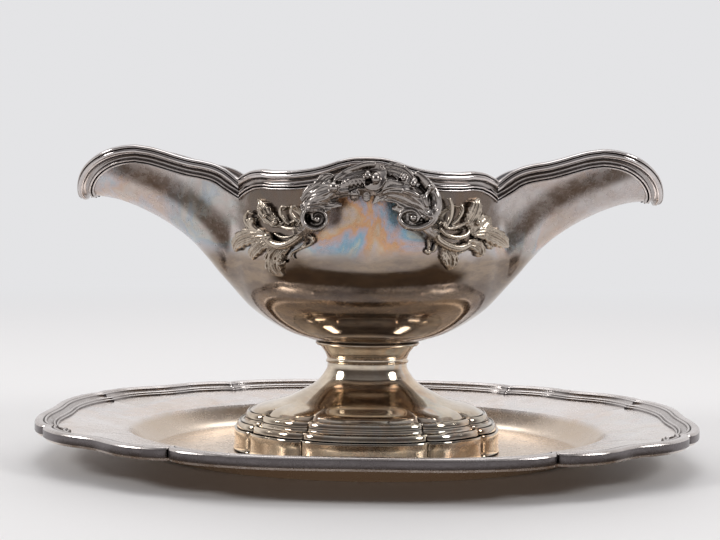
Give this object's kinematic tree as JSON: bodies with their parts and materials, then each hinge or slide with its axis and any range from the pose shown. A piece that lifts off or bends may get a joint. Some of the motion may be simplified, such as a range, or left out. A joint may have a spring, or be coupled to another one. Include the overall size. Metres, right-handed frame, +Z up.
{
  "type": "gravy boat",
  "caption": "Oval gravy boat with two pouring lips, scroll handles and a lobed foot, standing loose on its own lobed plate.",
  "frame": {"origin": "on the table, under the middle of the plate", "axes": "+Z up, +X along the boat towards its right lip, -Y towards the front handle"},
  "size_m": [0.25, 0.19, 0.118],
  "materials": {
    "bowl_silver": "polished silver plate with a thin warm and bluish tarnish",
    "moulding_silver": "polished threaded moulding, dark in its hollows",
    "cast_silver": "cast ornament, polished on its crests and dark in its cuts",
    "foot_silver": "polished silver plate with a warm tarnish",
    "plate_silver": "satin polished silver plate with fine scratches and warm tarnish",
    "plate_moulding_silver": "polished threaded moulding, dark in its hollows"
  },
  "bodies": {
    "plate": {"plate_dish": "plate_silver", "plate_rim_right_end": "plate_moulding_silver", "plate_rim_back_right": "plate_moulding_silver", "plate_rim_back": "plate_moulding_silver", "plate_rim_back_left": "plate_moulding_silver", "plate_rim_left_end": "plate_moulding_silver", "plate_rim_front_left": "plate_moulding_silver", "plate_rim_front": "plate_moulding_silver", "plate_rim_front_right": "plate_moulding_silver"},
    "boat": {"bowl_shell": "bowl_silver", "rim_lip_left": "moulding_silver", "rim_lip_right": "moulding_silver", "rim_front": "moulding_silver", "rim_back": "moulding_silver", "neck_collar": "foot_silver", "neck_spool": "foot_silver", "pedestal": "foot_silver", "foot_moulding": "foot_silver", "foot_band": "foot_silver", "handle_front": "cast_silver", "handle_back": "cast_silver", "leaf_front_left": "cast_silver", "leaf_front_right": "cast_silver", "leaf_back_left": "cast_silver", "leaf_back_right": "cast_silver"}
  },
  "joints": [
    {"name": "boat_lift", "type": "slide", "parent": "plate", "child": "boat", "axis": [0, 0, 1], "range_m": [0, 0.15]}
  ]
}
